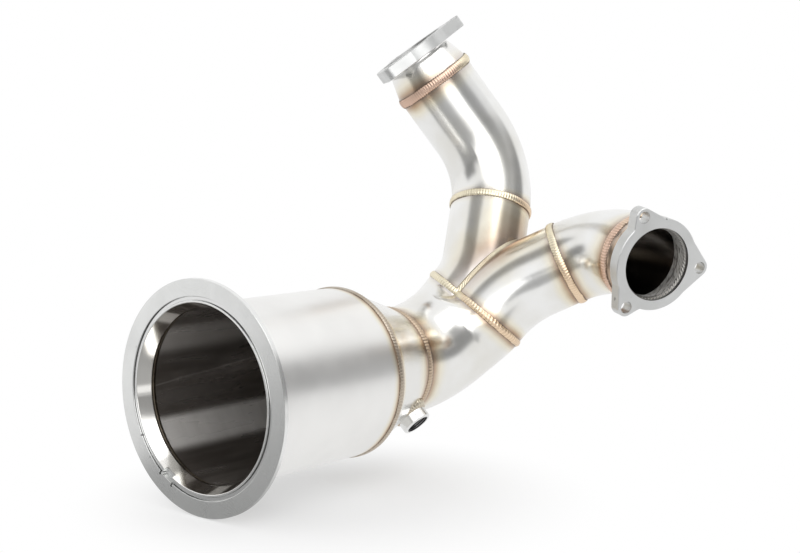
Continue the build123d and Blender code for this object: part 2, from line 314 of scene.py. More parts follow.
@dataclass(frozen=True)
class Seam:
    """A round weld seam: the centre of its plane, the tube's direction there and its size.

    warm is the side of the tube where the seam ran hottest, and heat how wide its tint is.
    """

    centre: Triple
    way: Triple
    radius: float
    width: float = 0.006
    height: float = 0.0014
    heat: float = 1.0
    warm: Triple = (0.0, 0.0, -1.0)

    def basis(self) -> tuple[Vector, Vector, Vector]:
        """Give two directions across the tube and the one along it."""
        along = Vector(self.way).normalized()
        up = Vector(UP)
        across = (up - along * along.dot(up)).normalized()
        return across, along.cross(across), along

    def warmth(self, graph: Graph, gap: Socket) -> Value:
        """Give -1 on the tube's cool side up to 1 on its warm side, by the gap from the centre."""
        return graph.along(gap, Vector(self.warm).normalized()) / self.radius


TUBE_R = 0.03175
CAN_R = 0.061
CAN_MIDDLE_R = 0.0602
TRUNK_R = 0.041
SHEET_BEAD = (0.0048, 0.00095)  # width and height of the beads on the can
STUB_BEAD = (0.0074, 0.0017)

MERGE_WAY = (0.4764, -0.4335, 0.7649)
LEFT_WAY = (-0.4399, 0.4003, 0.8039)
RIGHT_WAY = (-0.4089, -0.8972, -0.1668)
FLANGE_SEAM = Seam((0.0135, 0.0, 0.0), X_WAY, CAN_R, *SHEET_BEAD, heat=0.35)
CAN_SEAM = Seam((0.1316, 0.0, 0.0), X_WAY, CAN_R, *SHEET_BEAD, heat=0.55, warm=(0.0, -1.0, 0.15))
TRUNK_SEAM = Seam((0.187, 0.0, 0.0), X_WAY, TRUNK_R, heat=1.5, warm=(0.0, -1.0, 0.25))
MERGE_SEAM = Seam(
    (0.26762, -0.01983, 0.03498), MERGE_WAY, TUBE_R, heat=0.8, warm=(0.2, -0.9, -0.5)
)
LEFT_MID = Seam(
    (0.3066, -0.0055, 0.11059), (0.4328, 0.1653, 0.8862), TUBE_R, heat=0.7, warm=(0.9, -0.4, 0.0)
)
LEFT_TOP = Seam(
    (0.28487, 0.03506, 0.21264), LEFT_WAY, TUBE_R, *STUB_BEAD, heat=1.3, warm=(-0.7, 0.1, -0.6)
)
RIGHT_MID = Seam(
    (0.29911, -0.08436, 0.0721),
    (0.4217, -0.7997, 0.4274),
    TUBE_R,
    heat=0.9,
    warm=(-0.5, -0.6, -0.7),
)
RIGHT_TOP = Seam(
    (0.29735, -0.14953, 0.08046), RIGHT_WAY, TUBE_R, *STUB_BEAD, heat=1.4, warm=(-0.6, 0.5, -0.3)
)
CROTCH_SEAM = Seam(
    (0.2819, -0.0328, 0.0579),
    (0.1865, 0.9, 0.3939),
    0.047,
    0.005,
    heat=3.3,
    warm=(0.2, -0.2, 0.95),
)
BUNG_SEAM = Seam(
    (0.1744, -0.03193, -0.03249), (0.0872, -0.6982, -0.7105), 0.011, 0.004, 0.002, heat=0.5
)


@dataclass(frozen=True)
class Core:
    """The middle line of a bend and of the straight tube after it, to tell inside from outside.

    The bend turns about a centre in the plane across its axis, and top is the seam on its tail.
    """

    centre: Triple
    axis: Triple
    bend_r: float
    tail: float
    top: Seam

    def depth(self, graph: Graph) -> Value:
        """Measure a place from the middle line.

        Args:
            graph: The material's nodes.

        Returns:
            Its distance from the line.
        """
        gap = graph.offset(self.centre)
        lift = graph.along(gap, self.axis)
        level = graph.around(gap, self.axis) - self.bend_r
        on_bend = (level * level + lift * lift).root()
        reach = graph.offset(self.top.centre)
        ahead = graph.along(reach, self.top.way)
        on_tail = graph.around(reach, self.top.way)
        past = ahead.between(-self.tail - EDGE_SOFT, -self.tail + EDGE_SOFT)
        return on_bend + (on_tail - on_bend) * past


LEFT_CORE = Core(
    (0.24392, 0.02186, 0.1361), (-0.2744, -0.9123, 0.3041), bend_r=0.073, tail=0.0488, top=LEFT_TOP
)
RIGHT_CORE = Core(
    (0.25798, -0.11938, 0.04715),
    (0.5869, -0.1186, -0.8009),
    bend_r=0.0595,
    tail=0.0054,
    top=RIGHT_TOP,
)


# finishes


@dataclass(frozen=True)
class HeatTint:
    """Colours that a seam's heat leaves on the steel beside it, from the seam outwards."""

    brown: Triple = (0.17, 0.105, 0.07)
    bronze: Triple = (0.44, 0.29, 0.17)
    straw: Triple = (0.80, 0.71, 0.49)
    bronze_at: float = 0.16
    straw_at: float = 0.5
    reach: float = 0.0105
    seam_share: float = 0.4  # of the seam's width on each side, where the tint starts
    patch_scale: float = 36.0
    warm_side: Pair = (-0.6, 0.95)
    own_tube: Pair = (1.75, 1.45)  # in the seam's radii; further off is another tube
    fade: Pair = (1.0, 0.05)

    def apply(self, graph: Graph, colour: Any, seams: Sequence[Seam]) -> Any:
        """Lay the tint of some seams over a colour.

        Args:
            graph: The material's nodes.
            colour: The bare steel's colour.
            seams: The seams near the piece.

        Returns:
            The tinted colour.
        """
        patches = graph.noise(self.patch_scale)
        stops = (
            (0.0, self.brown),
            (self.bronze_at, self.bronze),
            (self.straw_at, self.straw),
            (1.0, self.straw),
        )
        for seam in seams:
            gap = graph.offset(seam.centre)
            warm = seam.warmth(graph, gap).between(*self.warm_side)
            away = abs(graph.along(gap, seam.way)) - seam.width * self.seam_share
            away = away / (self.reach * seam.heat) / (0.30 + 1.0 * patches + 0.55 * warm)
            near = graph.length(gap).between(*(seam.radius * share for share in self.own_tube))
            tone = graph.ramp(away.clamped(), stops)
            cover = away.between(*self.fade) * near * (0.30 + 0.70 * warm)
            colour = graph.mix(cover * (0.55 + 0.60 * patches), colour, tone)
        return colour


@dataclass(frozen=True)
class SteelFinish:
    """Satin stainless tube: uneven hand polish, waves from bending and tint by its seams."""

    name: str
    colour: Triple = (0.87, 0.87, 0.86)
    shade: Triple = (0.77, 0.755, 0.71)
    # painted shade: the bore's dark colour where the tube's inside shows
    inside: Triple = (0.26, 0.245, 0.23)
    bore: Pair = (0.0311, 0.0306)  # from outside to inside, from the tube's middle line
    roughness: float = 0.13
    spread: float = 0.16
    waves: float = 0.00032
    wave_scale: float = 34.0
    blotch_scale: float = 22.0
    cloud_scale: float = 75.0
    grain_scale: float = 900.0
    shade_span: Pair = (0.3, 0.7)
    shade_share: float = 0.8

    def make(self, seams: Sequence[Seam] = (), core: Core | None = None) -> bpy.types.Material:
        """Build the material.

        Args:
            seams: The weld seams that tint this piece.
            core: The tube's middle line, where its inside shows.

        Returns:
            The material.
        """
        graph = Graph.material(self.name)
        blotch = graph.noise(self.blotch_scale, 3.0)
        cloud = graph.noise(self.cloud_scale, 4.0)
        grain = graph.noise(self.grain_scale, 3.0)
        shaded = blotch.between(*self.shade_span) * self.shade_share
        colour = graph.mix(shaded, self.colour, self.shade)
        colour = HeatTint().apply(graph, colour, seams)
        # the tube's inside, found from its middle line, is painted dark as shade
        if core is not None:
            colour = graph.mix(core.depth(graph).between(*self.bore), colour, self.inside)
        uneven = self.spread * (0.6 * blotch + 0.4 * cloud)
        rough = self.roughness + uneven + 0.05 * (grain - 0.5)
        relief = 0.92 * graph.noise(self.wave_scale, 1.0) + 0.04 * cloud + 0.015 * grain
        return graph.finish(colour, rough, relief, 1.0, self.waves)


@dataclass(frozen=True)
class CanFinish:
    """The can's and cone's sheet: brushed round and satin outside, brown-grey inside.

    The sheet's middle runs at wall_middle up to cone_start, and then draws in by slope. Inside,
    the painted highlight band and the painted reflection band run along the can, and are told by
    a place's height as a share of its radius.
    """

    name: str = "can_sheet"
    colour: Triple = (0.88, 0.875, 0.86)
    shade: Triple = (0.79, 0.785, 0.77)
    inside: Triple = (0.26, 0.235, 0.215)
    # the colour of darker streaks inside the can
    dark_streak_colour: Triple = (0.15, 0.13, 0.115)
    # the colour of the sheet's lengthwise seam, and the painted reflection on the high band inside
    seam_and_painted_reflection: Triple = (0.60, 0.57, 0.54)
    # the painted highlight on the low band inside
    bright: Triple = (0.88, 0.86, 0.83)
    wall_middle: float = CAN_MIDDLE_R
    cone_start: float = 0.1316
    slope: float = 0.361
    roughness: float = 0.27
    blotch_scale: float = 18.0
    cloud_scale: Triple = (96.0, 42.0, 42.0)
    wave_scale: float = 26.0
    brushing: Triple = (2600.0, 160.0, 160.0)
    # scale of the darker streaks inside the can
    dark_streak_scale: Triple = (12.0, 80.0, 80.0)
    shade_span: Pair = (0.35, 0.7)
    shade_share: float = 0.5
    # where the painted highlight and the painted reflection lie, in shares of the radius
    painted_highlight_band: Band = (-0.76, -0.66, -0.42, -0.33)
    painted_reflection_band: Band = (0.30, 0.50, 0.60, 0.78)
    sheet_seam: Pair = (1.45, 0.017)  # its rise per metre, and how low it starts
    sheet_seam_edge: Pair = (0.014, 0.004)
    waves: float = 0.0004

    def make(self, seams: Sequence[Seam] = ()) -> bpy.types.Material:
        """Build the material.

        Args:
            seams: The weld seams that tint this piece.

        Returns:
            The material.
        """
        graph = Graph.material(self.name)
        blotch = graph.noise(self.blotch_scale, 3.0)
        cloud = graph.noise(1.0, 4.0, graph.stretched(self.cloud_scale))
        brushed = graph.streaks(self.brushing)
        streaks = graph.streaks(self.dark_streak_scale)
        ahead, out_r = graph.about_x()
        wall = out_r + (ahead - self.cone_start).most(0.0) * self.slope
        is_inside = wall.between(self.wall_middle + EDGE_SOFT, self.wall_middle - EDGE_SOFT)
        shaded = blotch.between(*self.shade_span) * self.shade_share
        outer = graph.mix(shaded, self.colour, self.shade)
        outer = HeatTint().apply(graph, outer, seams)
        rise = graph.along(graph.place(), UP) / out_r + 0.05 * (streaks - 0.5)
        # painted highlight low on the inside wall, painted reflection high on it
        low = rise.band(*self.painted_highlight_band)
        high = rise.band(*self.painted_reflection_band)
        drift = ahead * self.sheet_seam[0] - self.sheet_seam[1]
        seam_line = abs(rise - drift).between(*self.sheet_seam_edge)
        # inside: darker streaks, then the painted reflection, the painted highlight and the seam
        # line
        inside_with_painted_bands = graph.mix(streaks.between(*self.shade_span), self.inside, self.dark_streak_colour)
        inside_with_painted_bands = graph.mix(high * (0.45 + 0.6 * streaks), inside_with_painted_bands, self.seam_and_painted_reflection)
        inside_with_painted_bands = graph.mix(low * (0.70 + 0.5 * (cloud - 0.4)), inside_with_painted_bands, self.bright)
        inside_with_painted_bands = graph.mix(seam_line * 0.35, inside_with_painted_bands, self.seam_and_painted_reflection)
        colour = graph.mix(is_inside, outer, inside_with_painted_bands)
        rough_out = self.roughness + 0.12 * cloud + 0.08 * (brushed - 0.5)
        rough_in = 0.20 + 0.16 * streaks
        rough = rough_out + (rough_in - rough_out) * is_inside
        metal = 1.0 - is_inside * (0.30 + 0.40 * low + 0.15 * high)
        relief = 0.8 * graph.noise(self.wave_scale, 1.0) + 0.06 * brushed
        return graph.finish(colour, rough, relief, 1.0, self.waves, metal)


@dataclass(frozen=True)
class StubFinish:
    """A flared stub: tinted satin steel outside, scraped and duller where it narrows inside.

    flare is the stretch, from the seam, over which the stub narrows from one of the radii to
    the other.
    """

    name: str = "stub_steel"
    colour: Triple = (0.88, 0.87, 0.85)
    inside: Triple = (0.86, 0.84, 0.80)
    scraped: Triple = (0.22, 0.21, 0.20)
    wall: float = 0.0016
    flare: Pair = (0.0042, 0.0108)
    radii: Pair = (TUBE_R, 0.027)
    scrape_scale: Triple = (260.0, 900.0, 260.0)
    scrape_span: Pair = (0.45, 0.70)
    blotch_scale: float = 24.0
    wave_scale: float = 34.0
    waves: float = 0.0004

    def make(self, seam: Seam) -> bpy.types.Material:
        """Build the material.

        Args:
            seam: The stub's seam, at which its axis starts.

        Returns:
            The material.
        """
        graph = Graph.material(self.name)
        gap = graph.offset(seam.centre)
        wide, narrow = self.radii
        narrowed = graph.along(gap, seam.way).between(*self.flare) * (wide - narrow)
        widened = graph.around(gap, seam.way) + narrowed
        bore = widened.between(wide - 0.6 * self.wall, wide - self.wall)
        blotch = graph.noise(self.blotch_scale, 3.0)
        scrapes = graph.streaks(self.scrape_scale)
        colour = HeatTint().apply(graph, self.colour, (seam,))
        dull = graph.mix(scrapes.between(*self.scrape_span), self.inside, self.scraped)
        colour = graph.mix(bore, colour, dull)
        rough = 0.12 + 0.14 * blotch + 0.06 * bore
        relief = 0.9 * graph.noise(self.wave_scale, 1.0) + 0.1 * scrapes
        return graph.finish(colour, rough, relief, 1.0, self.waves, 1.0 - 0.5 * bore)


@dataclass(frozen=True)
class BungFinish:
    """The bung's turned steel, with a thread cut in its bore."""

    name: str = "bung_steel"
    colour: Triple = (0.80, 0.80, 0.79)
    # painted shade: the bore's dark colour on the thread's crests, darker still in its grooves
    crest: Triple = (0.20, 0.20, 0.20)
    groove: Triple = (0.10, 0.10, 0.10)
    thread_r: float = 0.0086
    thread_edge: float = 0.0003
    thread_depth: float = 0.0006
    pitch: float = 0.0015
    mark_scale: float = 1500.0

    def make(self, seam: Seam) -> bpy.types.Material:
        """Build the material.

        Args:
            seam: The bung's seam, whose axis the thread runs round.

        Returns:
            The material.
        """
        graph = Graph.material(self.name)
        across, side, along = seam.basis()
        gap = graph.offset(seam.centre)
        turns = graph.along(gap, along) * (math.tau / self.pitch)
        ridge = (turns + graph.clock(gap, across, side)).wave()
        out_r = graph.around(gap, along)
        inside = out_r.between(self.thread_r + self.thread_edge, self.thread_r)
        # the bore is painted dark as shade, darker in the thread's grooves
        colour = graph.mix(inside, self.colour, graph.mix(ridge, self.groove, self.crest))
        rough = 0.18 + 0.10 * graph.noise(self.mark_scale)
        return graph.finish(colour, rough, ridge * inside, 0.6, self.thread_depth)


@dataclass(frozen=True)
class PlateFinish:
    """Milled plate: an even light grey, fine tool marks and a few dark specks."""

    name: str = "flange_plate_steel"
    colour: Triple = (0.66, 0.665, 0.66)
    shade: Triple = (0.56, 0.565, 0.555)
    speck: Triple = (0.16, 0.16, 0.16)
    roughness: float = 0.38
    cloud_scale: float = 55.0
    speck_scale: float = 240.0
    speck_span: Pair = (0.83, 0.86)
    mark_scale: float = 2400.0
    mark_depth: float = 0.0003

    def make(self) -> bpy.types.Material:
        """Build the material."""
        graph = Graph.material(self.name)
        cloud = graph.noise(self.cloud_scale, 3.0)
        fine = graph.noise(self.mark_scale)
        specks = graph.noise(self.speck_scale, 0.0).between(*self.speck_span)
        colour = graph.mix(cloud.between(0.3, 0.75) * 0.55, self.colour, self.shade)
        colour = graph.mix(specks * 0.6, colour, self.speck)
        rough = self.roughness + 0.08 * (cloud - 0.5) + 0.08 * (fine - 0.5)
        return graph.finish(colour, rough, fine, 0.05, self.mark_depth)


@dataclass(frozen=True)
class ClampFlangeFinish:
    """The clamp flange: a matt turned face, a bright flared bore and the dull weld behind it."""

    name: str = "clamp_flange_steel"
    face: Triple = (0.84, 0.845, 0.835)
    shade: Triple = (0.74, 0.745, 0.735)
    speck: Triple = (0.12, 0.12, 0.12)
    bore: Triple = (0.90, 0.885, 0.85)
    weld: Triple = (0.30, 0.26, 0.20)
    weld_shade: Triple = (0.16, 0.13, 0.10)
    toe: Triple = (0.05, 0.04, 0.03)
    bore_edge_r: float = 0.0629
    bore_edge_soft: float = 0.0001
    weld_start: Pair = (0.0095, 0.0098)
    toe_end: Pair = (0.0113, 0.0102)
    wander: float = 0.0012
    wobble_scale: float = 190.0
    cloud_scale: float = 48.0
    speck_scale: float = 230.0
    speck_span: Pair = (0.84, 0.87)
    turning: float = 7600.0  # radians of the tool marks' wave per metre of radius
    relief: float = 0.0003

    def make(self) -> bpy.types.Material:
        """Build the material."""
        graph = Graph.material(self.name)
        back, out_r = graph.about_x()
        edge_r, soft = self.bore_edge_r, self.bore_edge_soft
        in_bore = out_r.between(edge_r + soft, edge_r - soft)
        wobble = graph.noise(self.wobble_scale, 3.0)
        edge = back + self.wander * (wobble - 0.5)
        in_weld = edge.between(*self.weld_start) * in_bore
        dark_line = edge.between(*self.toe_end) * in_weld
        cloud = graph.noise(self.cloud_scale, 3.0)
        turned = (out_r * self.turning).wave()
        specks = graph.noise(self.speck_scale, 0.0).between(*self.speck_span)
        matt = graph.mix(cloud.between(0.3, 0.75) * 0.5, self.face, self.shade)
        matt = graph.mix(specks * 0.75, matt, self.speck)
        colour = graph.mix(in_bore, matt, self.bore)
        colour = graph.mix(in_weld, colour, graph.mix(wobble, self.weld_shade, self.weld))
        colour = graph.mix(dark_line, colour, self.toe)
        rough_face = 0.25 + 0.08 * (cloud - 0.5) + 0.05 * (turned - 0.5)
        rough_bore = 0.075 + 0.05 * cloud
        rough = rough_face + (rough_bore - rough_face) * in_bore + 0.22 * in_weld
        height = 0.25 * turned * (1.0 - in_bore) + wobble * in_weld
        return graph.finish(colour, rough, height, 0.35, self.relief)


class WeldTone(Enum):
    """How hot a seam ran, which sets its colours."""

    STRAW = "straw"
    ROSE = "rose"
    BRONZE = "bronze"
    SILVER = "silver"
    DULL = "dull"


# the cool side's, the warm side's and the shadow's colour of each tone
WELD_COLOURS: dict[WeldTone, tuple[Triple, Triple, Triple]] = {
    WeldTone.STRAW: ((0.95, 0.88, 0.68), (0.90, 0.70, 0.50), (0.44, 0.33, 0.22)),
    WeldTone.ROSE: ((0.93, 0.84, 0.64), (0.80, 0.58, 0.46), (0.36, 0.23, 0.16)),
    WeldTone.BRONZE: ((0.76, 0.70, 0.57), (0.60, 0.48, 0.36), (0.28, 0.19, 0.13)),
    WeldTone.SILVER: ((0.60, 0.58, 0.52), (0.53, 0.46, 0.38), (0.28, 0.23, 0.17)),
    WeldTone.DULL: ((0.34, 0.33, 0.31), (0.26, 0.25, 0.23), (0.08, 0.075, 0.07)),
}


@dataclass(frozen=True)
class WeldFinish:
    """Weld metal in one tone, darker between its ripples and at its edges.

    edge is how dark the edges are, and relief how strongly the ripples stand out where the
    mesh has none.
    """

    tone: WeldTone
    ripples: int
    relief: float = 0.0
    edge: float = 0.8
    edge_colour: Triple = (0.13, 0.09, 0.06)
    edge_span: Pair = (0.78, 1.0)
    warm_span: Pair = (0.3, 0.75)
    wobble_scale: float = 210.0
    patch_scale: float = 38.0
    depth: float = 0.0004

    def make(self, seam: Seam) -> bpy.types.Material:
        """Build the material of one seam.

        Args:
            seam: The seam whose axis the ripples turn about.

        Returns:
            The material.
        """
        graph = Graph.material("weld_" + self.tone.value)
        across, side, along = seam.basis()
        gap = graph.offset(seam.centre)
        angle = graph.clock(gap, across, side)
        drift = graph.along(gap, along) / (seam.width * 0.5)
        wobble = graph.noise(self.wobble_scale, 3.0)
        patches = graph.noise(self.patch_scale)
        ripple = (angle * float(self.ripples) + 1.4 * drift * drift + 1.6 * wobble).wave()
        cool, warm, dark = WELD_COLOURS[self.tone]
        warmth = 0.5 + 0.5 * seam.warmth(graph, gap) + 1.3 * (patches - 0.5)
        colour = graph.mix(warmth.between(*self.warm_span), cool, warm)
        colour = graph.mix((1.0 - ripple) * (0.12 + 0.42 * wobble), colour, dark)
        edge = (abs(drift) + 0.5 * (wobble - 0.5)).between(*self.edge_span)
        colour = graph.mix(edge * self.edge, colour, self.edge_colour)
        rough = 0.22 + 0.10 * (1.0 - ripple) + 0.10 * wobble
        return graph.finish(colour, rough, ripple, self.relief, self.depth)


# meshes


def add_object(name: str, data: bpy.types.ID) -> bpy.types.Object:
    """Put a new object in the scene, at the origin.

    Args:
        name: The object's name.
        data: Its mesh, camera or lamp.

    Returns:
        The object.
    """
    item = bpy.data.objects.new(name, data)
    bpy.context.scene.collection.objects.link(item)
    return item


def add_shape(name: str, shape: bmesh.types.BMesh) -> bpy.types.Object:
    """Put a finished shape in the scene.

    Args:
        name: The object's name.
        shape: The shape, which is freed.

    Returns:
        The object.
    """
    mesh = bpy.data.meshes.new(name)
    shape.to_mesh(mesh)
    shape.free()
    return add_object(name, mesh)


def spin(shape: bmesh.types.BMesh, outline: Sequence[Triple], axis: Triple, steps: int) -> None:
    """Turn a closed outline round an axis through the origin.

    Args:
        shape: The empty shape that the surface is made in.
        outline: The outline's points in order.
        axis: The axis.
        steps: The number of faces round it.
    """
    points = [shape.verts.new(point) for point in outline]
    edges = [shape.edges.new(pair) for pair in zip(points, points[1:] + points[:1])]
    bmesh.ops.spin(
        shape,
        geom=points + edges,
        cent=(0.0, 0.0, 0.0),
        axis=axis,
        angle=math.tau,
        steps=steps,
        use_merge=True,
    )
    bmesh.ops.remove_doubles(shape, verts=shape.verts, dist=WELDED)


def smooth(mesh: bpy.types.Mesh) -> None:
    """Shade every face of a mesh smoothly."""
    for face in mesh.polygons:
        face.use_smooth = True


# the part's pieces


def dress(node: str, material: bpy.types.Material) -> None:
    """Give a CAD node's object its material.

    Args:
        node: The node's name.
        material: The material for its whole surface.
    """
    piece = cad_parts[node]
    piece.data.materials.clear()
    piece.data.materials.append(material)
    LOG.info("dressed %s", node)


@dataclass
class RippledBead:
    """A weld bead laid round a tube in overlapping drops, in place of a seam's plain ring."""

    node: str
    seam: Seam
    tone: WeldTone
    ripples: int
    inner_r: float
    ripple_depth: float = 0.22
    sections: int = 4  # faces along one ripple
    profile: int = 9  # points over the bead's crest
    foot_share: float = 0.86  # width of the bead's foot
    bow: float = 1.3  # how far a ripple's middle runs ahead of its ends
    stretch: float = 0.09
    wander: float = 0.09
    side_wander: float = 0.00022

    def build(self) -> bpy.types.Object:
        """Spin the bead, ripple it and put it on its seam.

        Returns:
            The bead's object.
        """
        shape = bmesh.new()
        half = self.seam.width / 2.0
        leans = [math.pi * step / (self.profile - 1) for step in range(self.profile)]
        outline = [
            (self.seam.radius + self.seam.height * math.sin(lean), 0.0, -half * math.cos(lean))
            for lean in leans
        ]
        foot = half * self.foot_share
        outline += [(self.inner_r, 0.0, foot), (self.inner_r, 0.0, -foot)]
        spin(shape, outline, UP, self.ripples * self.sections)
        self._ripple(shape)
        bmesh.ops.recalc_face_normals(shape, faces=shape.faces)
        turn = Matrix(self.seam.basis()).transposed().to_4x4()
        place = Matrix.Translation(Vector(self.seam.centre)) @ turn
        bmesh.ops.transform(shape, matrix=place, verts=shape.verts)
        bead = add_shape(self.node + "_bead", shape)
        smooth(bead.data)
        bead.data.materials.append(WeldFinish(self.tone, self.ripples).make(self.seam))
        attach(bead, BODY)
        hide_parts(self.node)
        LOG.info("built %s with %d faces", bead.name, len(bead.data.polygons))
        return bead

    def _ripple(self, shape: bmesh.types.BMesh) -> None:
        """Lift the drops' crests and sink the gaps between them.

        Args:
            shape: The smooth bead round the Z axis.
        """
        half = self.seam.width / 2.0
        for vert in shape.verts:
            out = math.hypot(vert.co.x, vert.co.y)
            if out < self.seam.radius - 10.0 * WELDED:
                continue
            clock = math.atan2(vert.co.y, vert.co.x)
            drift = vert.co.z / half
            wave = math.sin(clock * self.ripples + self.bow * drift * drift)
            uneven = math.sin(3.0 * clock + 0.7) + 0.6 * math.sin(7.0 * clock + 2.1)
            crest = 1.0 - self.ripple_depth * (0.5 - 0.5 * wave)
            lift = (out - self.seam.radius) * crest * (1.0 + self.wander * uneven)
            grow = (self.seam.radius + lift) / out
            vert.co.x *= grow
            vert.co.y *= grow
            vert.co.z = vert.co.z * (1.0 + self.stretch * wave) + self.side_wander * uneven


@dataclass
class ClampFlange:
    """The clamp flange with its steep bore, grooved face and notched lip, turned about X.

    shoulder and bore are places on the outline: how far back, and how far out. groove is the
    groove's inner and outer radius and its depth, slot and notch are a length and a width,
    and clock and slot_spread are degrees.
    """

    node: str = "turbo_flange"
    depth: float = 0.0135
    face_r: float = 0.0785
    rim: float = 0.0032
    shoulder: Pair = (0.00768, 0.0662)
    groove: Triple = (0.0642, 0.0669, 0.0030)
    bore: tuple[Pair, ...] = (
        (0.0, 0.0628),
        (0.0092, 0.0588),
        (0.0099, 0.0587),
        (0.0106, 0.0591),
        (0.0114, 0.0588),
        (0.0122, 0.0592),
        (0.0135, 0.0594),
    )
    steps: int = 288
    bevel: float = 0.0003
    front: float = 0.0001  # edges this far back are still the face's
    corner: float = 38.0  # degrees; a flatter edge isn't bevelled
    sharp: float = 14.0  # degrees; a sharper edge is shaded hard
    clock: float = -59.6
    slot_spread: float = 5.4
    slot: Pair = (0.0054, 0.0021)
    notch: Pair = (0.0044, 0.0092)
    notch_r: float = 0.0627

    def build(self) -> bpy.types.Object:
        """Turn the flange, break its edges and cut the ring's slots and the lip's notch.

        Returns:
            The flange's object.
        """
        shape = bmesh.new()
        self._turn(shape)
        flange = add_shape("clamp_flange", shape)
        cutter_shape = bmesh.new()
        self._cuts(cutter_shape)
        cutter = add_shape("flange_cuts", cutter_shape)
        cut = flange.modifiers.new("cuts", "BOOLEAN")
        cut.operation = "DIFFERENCE"
        cut.solver = "EXACT"
        cut.object = cutter
        graph = bpy.context.evaluated_depsgraph_get()
        mesh = bpy.data.meshes.new_from_object(flange.evaluated_get(graph))
        flange.modifiers.clear()
        flange.data = mesh
        bpy.data.objects.remove(cutter)
        smooth(mesh)
        mesh.set_sharp_from_angle(angle=math.radians(self.sharp))
        mesh.materials.clear()
        mesh.materials.append(ClampFlangeFinish().make())
        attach(flange, BODY)
        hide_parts(self.node)
        LOG.info("built %s with %d faces", flange.name, len(mesh.polygons))
        return flange

    def _turn(self, shape: bmesh.types.BMesh) -> None:
        """Spin the flange's outline round X and round over the corners of its face.

        Args:
            shape: The empty shape that the flange is made in.
        """
        inner, outer, deep = self.groove
        outline = list(self.bore) + [
            (self.depth, CAN_R),
            self.shoulder,
            (self.rim, self.face_r),
            (0.0, self.face_r),
            (0.0, outer),
            (deep, outer),
            (deep, inner),
            (0.0, inner),
        ]
        spin(shape, [(back, out, 0.0) for back, out in outline], X_WAY, self.steps)
        bmesh.ops.recalc_face_normals(shape, faces=shape.faces)
        corners = [
            edge
            for edge in shape.edges
            if edge.calc_face_angle(0.0) > math.radians(self.corner)
            and min(vert.co.x for vert in edge.verts) < self.front
        ]
        bmesh.ops.bevel(
            shape,
            geom=corners,
            offset=self.bevel,
            offset_type="OFFSET",
            affect="EDGES",
            segments=2,
            profile=0.5,
            material=-1,
        )

    def _cuts(self, shape: bmesh.types.BMesh) -> None:
        """Add the boxes that cut the two slots and the notch.

        Args:
            shape: The empty shape that the boxes are made in.
        """
        _, outer, deep = self.groove
        for clock, out, (length, width) in (
            (self.clock - self.slot_spread, outer, self.slot),
            (self.clock + self.slot_spread, outer, self.slot),
            (self.clock, self.notch_r, self.notch),
        ):
            size = Matrix.Diagonal((2.0 * deep, length, width, 1.0))
            turn = Matrix.Rotation(math.radians(clock), 4, "X")
            place = turn @ Matrix.Translation((0.0, out, 0.0))
            bmesh.ops.create_cube(shape, size=1.0, matrix=place @ size)


@dataclass
class Can:
    """The clamp flange, its ring, the can and the cone with its bung."""

    ring_grey: Triple = (0.80, 0.80, 0.795)
    # painted shade: the cone's sheet, the same as the can's, drawn darker
    cone_painted_shade_grey: Triple = (0.80, 0.79, 0.76)
    smoother: float = 0.14  # roughness of the ring and the cone
    trunk_middle_r: float = 0.0402

    def build(self) -> None:
        """Give each piece of the can its finish, and its seams their beads."""
        ClampFlange().build()
        grey, smoother = self.ring_grey, self.smoother
        ring = SteelFinish("ring_steel", grey, grey, roughness=smoother, waves=0.0)
        cone = CanFinish("cone_sheet", self.cone_painted_shade_grey, roughness=smoother)
        dress("groove_ring", ring.make())
        dress("can_shell", CanFinish().make((CAN_SEAM, FLANGE_SEAM)))
        dress("end_cone", cone.make((CAN_SEAM, TRUNK_SEAM)))
        dress("sensor_bung", BungFinish().make(BUNG_SEAM))
        dress("flange_weld", WeldFinish(WeldTone.SILVER, 150, 0.4).make(FLANGE_SEAM))
        dress("bung_weld", WeldFinish(WeldTone.BRONZE, 34, 0.5, 0.2).make(BUNG_SEAM))
        for bead in (
            RippledBead("can_cone_weld", CAN_SEAM, WeldTone.SILVER, 170, CAN_MIDDLE_R, 0.18),
            RippledBead("cone_trunk_weld", TRUNK_SEAM, WeldTone.BRONZE, 110, self.trunk_middle_r),
        ):
            bead.build()


